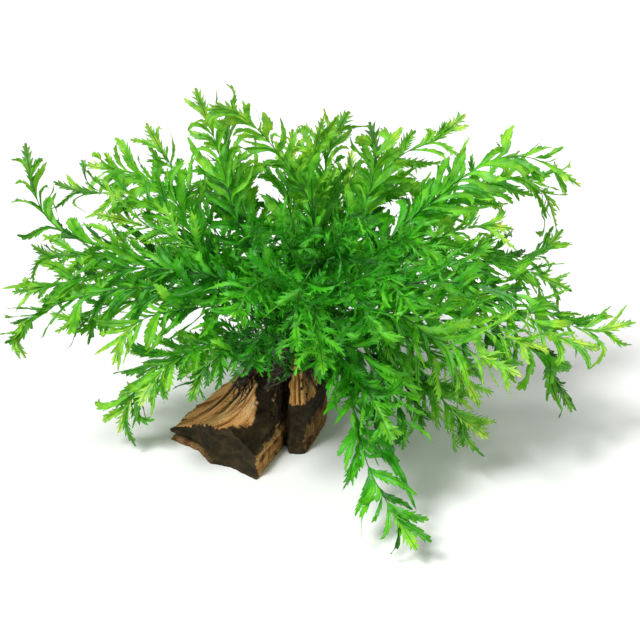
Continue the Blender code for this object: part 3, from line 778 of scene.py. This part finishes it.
def leaf_material():
    material, tree, shader = new_material("fern_leaf")
    across, place, tone_and_painted_light = guide_of(tree)
    # Colour along a frond: near black-green at its foot as painted shade inside the crown, and yellow-green
    # towards its end as painted light at the crown's edge.
    foot_shade_end_light = ramp(
        tree,
        place,
        [
            (0, (0.006, 0.14, 0.001)),
            (0.35, (0.04, 0.44, 0.006)),
            (0.75, (0.16, 0.54, 0.018)),
            (1, (0.29, 0.6, 0.05)),
        ],
    )
    # Tint by tone and painted light: its low end darkens a leaf as painted shade, and its high end makes it
    # pale and bluish as a painted highlight.
    tone_and_painted_light_tint = ramp(
        tree,
        tone_and_painted_light,
        [(0, (0.08, 0.2, 0.2)), (0.3, (0.55, 0.75, 0.7)), (0.65, (1.2, 1.08, 1.2)), (1, (1.75, 1.3, 2.6))],
    )
    colour = mixed(tree, "MULTIPLY", 1.0, foot_shade_end_light, tone_and_painted_light_tint)
    # Noise patches of painted shade and painted highlight over the leaves.
    painted_light_patches = ramp(
        tree,
        noise_of(tree, 120, 4),
        [(0.34, (0.35, 0.55, 0.5)), (0.5, (0.95, 0.98, 0.9)), (0.66, (1.8, 1.22, 1.3))],
    )
    colour = mixed(tree, "MULTIPLY", 0.9, colour, painted_light_patches)
    # Pale grey-green spots: painted highlights.
    painted_highlight_spots = ramp(tree, noise_of(tree, 130, 5, 0.65), [(0.5, (0, 0, 0)), (0.72, (0.6, 0.6, 0.6))])
    colour = mixed(tree, "MIX", painted_highlight_spots, colour, (0.2, 0.56, 0.17))
    # Darker leaf margins: painted shade along the edges.
    edge = ramp(tree, across, [(0, (1, 1, 1)), (0.75, (1, 1, 1)), (1, (0.5, 0.68, 0.4))])
    colour = mixed(tree, "MULTIPLY", 1.0, colour, edge)
    rib = ramp(
        tree,
        tone_and_painted_light,
        [(0.3, (0.008, 0.1, 0.004)), (0.55, (0.05, 0.3, 0.015)), (0.8, (0.22, 0.6, 0.07))],
    )
    near = ramp(tree, across, [(0, (1, 1, 1)), (0.2, (0, 0, 0))])
    colour = mixed(tree, "MIX", near, colour, rib)
    tree.links.new(colour, shader.inputs["Base Color"])
    shader.inputs["Roughness"].default_value = 0.42
    shader.inputs["Specular IOR Level"].default_value = 0.25
    bumped(tree, shader, noise_of(tree, 700, 3), 0.3 * MM, 0.5)
    through = tree.nodes.new("ShaderNodeBsdfTranslucent")
    glow = mixed(tree, "MULTIPLY", 1.0, colour, (1.4, 1.15, 0.5))
    tree.links.new(glow, through.inputs["Color"])
    both = tree.nodes.new("ShaderNodeMixShader")
    both.inputs["Fac"].default_value = 0.3
    tree.links.new(shader.outputs["BSDF"], both.inputs[1])
    tree.links.new(through.outputs["BSDF"], both.inputs[2])
    tree.links.new(both.outputs["Shader"], tree.nodes["Material Output"].inputs["Surface"])
    return material


def rachis_material():
    material, tree, shader = new_material("fern_rachis")
    _, place, _ = guide_of(tree)
    colour = ramp(
        tree,
        place,
        [(0, (0.03, 0.035, 0.012)), (0.3, (0.02, 0.07, 0.012)), (1, (0.05, 0.19, 0.02))],
    )
    streak = ramp(tree, noise_of(tree, 500, 2), [(0.3, (0.7, 0.7, 0.7)), (0.7, (1.2, 1.2, 1.2))])
    tree.links.new(mixed(tree, "MULTIPLY", 1.0, colour, streak), shader.inputs["Base Color"])
    shader.inputs["Roughness"].default_value = 0.5
    return material


def wood_material():
    material, tree, shader = new_material("driftwood")
    grained, height, red = guide_of(tree)
    # The height channel is painted shade in the wood's grooves and painted light on its ridges.
    tan = ramp(
        tree,
        height,
        [
            (0.22, (0.06, 0.022, 0.006)),
            (0.38, (0.4, 0.165, 0.045)),
            (0.5, (0.82, 0.41, 0.13)),
            (0.75, (1, 0.62, 0.3)),
        ],
    )
    orange = ramp(
        tree,
        height,
        [
            (0.25, (0.02, 0.006, 0.002)),
            (0.4, (0.2, 0.07, 0.014)),
            (0.5, (0.6, 0.28, 0.065)),
            (0.75, (0.9, 0.56, 0.21)),
        ],
    )
    dark = ramp(
        tree,
        height,
        [(0.1, (0.006, 0.0045, 0.002)), (0.5, (0.026, 0.018, 0.006)), (0.95, (0.07, 0.046, 0.018))],
    )
    top = mixed(tree, "MIX", red, tan, orange)
    streak = ramp(
        tree,
        streaks_of(tree, 95, 0.015),
        [(0.38, (0.1, 0.07, 0.05)), (0.47, (0.8, 0.75, 0.7)), (0.58, (1.3, 1.3, 1.3))],
    )
    top = mixed(tree, "MULTIPLY", 0.9, top, streak)
    colour = mixed(tree, "MIX", grained, dark, top)
    speck = ramp(
        tree,
        noise_of(tree, 1400, 2),
        [(0.32, (0.45, 0.4, 0.38)), (0.5, (1, 1, 1)), (0.75, (1.25, 1.2, 1.15))],
    )
    colour = mixed(tree, "MULTIPLY", 0.6, colour, speck)
    tree.links.new(colour, shader.inputs["Base Color"])
    shader.inputs["Roughness"].default_value = 0.8
    shader.inputs["Specular IOR Level"].default_value = 0.2
    bumped(tree, shader, noise_of(tree, 900, 4), 0.5 * MM, 0.7)
    return material


def bark_material(name, stops):
    """Dull bark whose colour follows the guide's height."""
    material, tree, shader = new_material(name)
    _, height, _ = guide_of(tree)
    colour = ramp(tree, height, stops)
    speck = ramp(tree, noise_of(tree, 600, 4), [(0.35, (0.55, 0.55, 0.5)), (0.65, (1.3, 1.3, 1.2))])
    tree.links.new(mixed(tree, "MULTIPLY", 0.8, colour, speck), shader.inputs["Base Color"])
    shader.inputs["Roughness"].default_value = 0.7
    bumped(tree, shader, noise_of(tree, 600, 4), 0.4 * MM, 0.6)
    return material


# Light, floor and camera


def studio():
    scene = bpy.context.scene
    scene.view_settings.view_transform = "Standard"
    world = bpy.data.worlds.new("studio")
    world.use_nodes = True
    world.node_tree.nodes["Background"].inputs["Color"].default_value = (1, 1, 1, 1)
    world.node_tree.nodes["Background"].inputs["Strength"].default_value = 0.4
    scene.world = world

    floor = bpy.data.meshes.new("floor")
    corners = [(x * FLOOR_HALF, y * FLOOR_HALF, 0) for x, y in ((-1, -1), (1, -1), (1, 1), (-1, 1))]
    floor.from_pydata(corners, [], [(0, 1, 2, 3)])
    plane = bpy.data.objects.new("floor", floor)
    material, _, shader = new_material("floor")
    shader.inputs["Base Color"].default_value = (0.93, 0.93, 0.92, 1)
    shader.inputs["Roughness"].default_value = 0.9
    floor.materials.append(material)
    scene.collection.objects.link(plane)
    plane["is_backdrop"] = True

    for name, kind, place, size, power in (
        ("key", "SUN", (-0.5, -0.55, 1.1), math.radians(18), 3.3),
        ("fill", "AREA", (0.9, -1.1, 0.7), 1.2, 4),
    ):
        light = bpy.data.lights.new(name, kind)
        light.energy = power
        if kind == "SUN":
            light.angle = size
        else:
            light.size = size
        lamp = bpy.data.objects.new(name, light)
        lamp.location = place
        lamp.rotation_mode = "QUATERNION"
        lamp.rotation_quaternion = (Vector(place) - AIM).to_track_quat("Z", "Y")
        scene.collection.objects.link(lamp)

    view = bpy.data.cameras.new("camera")
    view.sensor_width = SENSOR
    view.lens = SENSOR * DISTANCE / VIEW_WIDTH
    view.clip_start = 0.01
    camera = bpy.data.objects.new("camera", view)
    camera.location = AIM + BACKWARD * DISTANCE
    camera.rotation_mode = "QUATERNION"
    camera.rotation_quaternion = BACKWARD.to_track_quat("Z", "Y")
    scene.collection.objects.link(camera)
    scene.camera = camera


# The whole


def build():
    noise.seed_set(NOISE_SEED)
    leaf = leaf_material()
    rachis = rachis_material()
    for name, solid in sorted(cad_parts.items()):
        if name.startswith("frond"):
            dressed_frond(name, solid, [leaf, rachis])
    wood = driftwood(wood_material())
    bark = bark_material(
        "rhizome",
        [(0.2, (0.008, 0.005, 0.003)), (0.5, (0.035, 0.023, 0.01)), (0.85, (0.09, 0.08, 0.03))],
    )
    roots = bark_material(
        "roots",
        [(0, (0.01, 0.006, 0.004)), (0.6, (0.035, 0.018, 0.009)), (1, (0.09, 0.05, 0.025))],
    )
    rhizome(wood, [bark, roots])
    studio()


build()
meshes = [piece.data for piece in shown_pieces() if piece.type == "MESH"]
counts = [sum(len(face.vertices) - 2 for face in mesh.polygons) for mesh in meshes]
print("triangles", sum(counts), "most", max(counts))
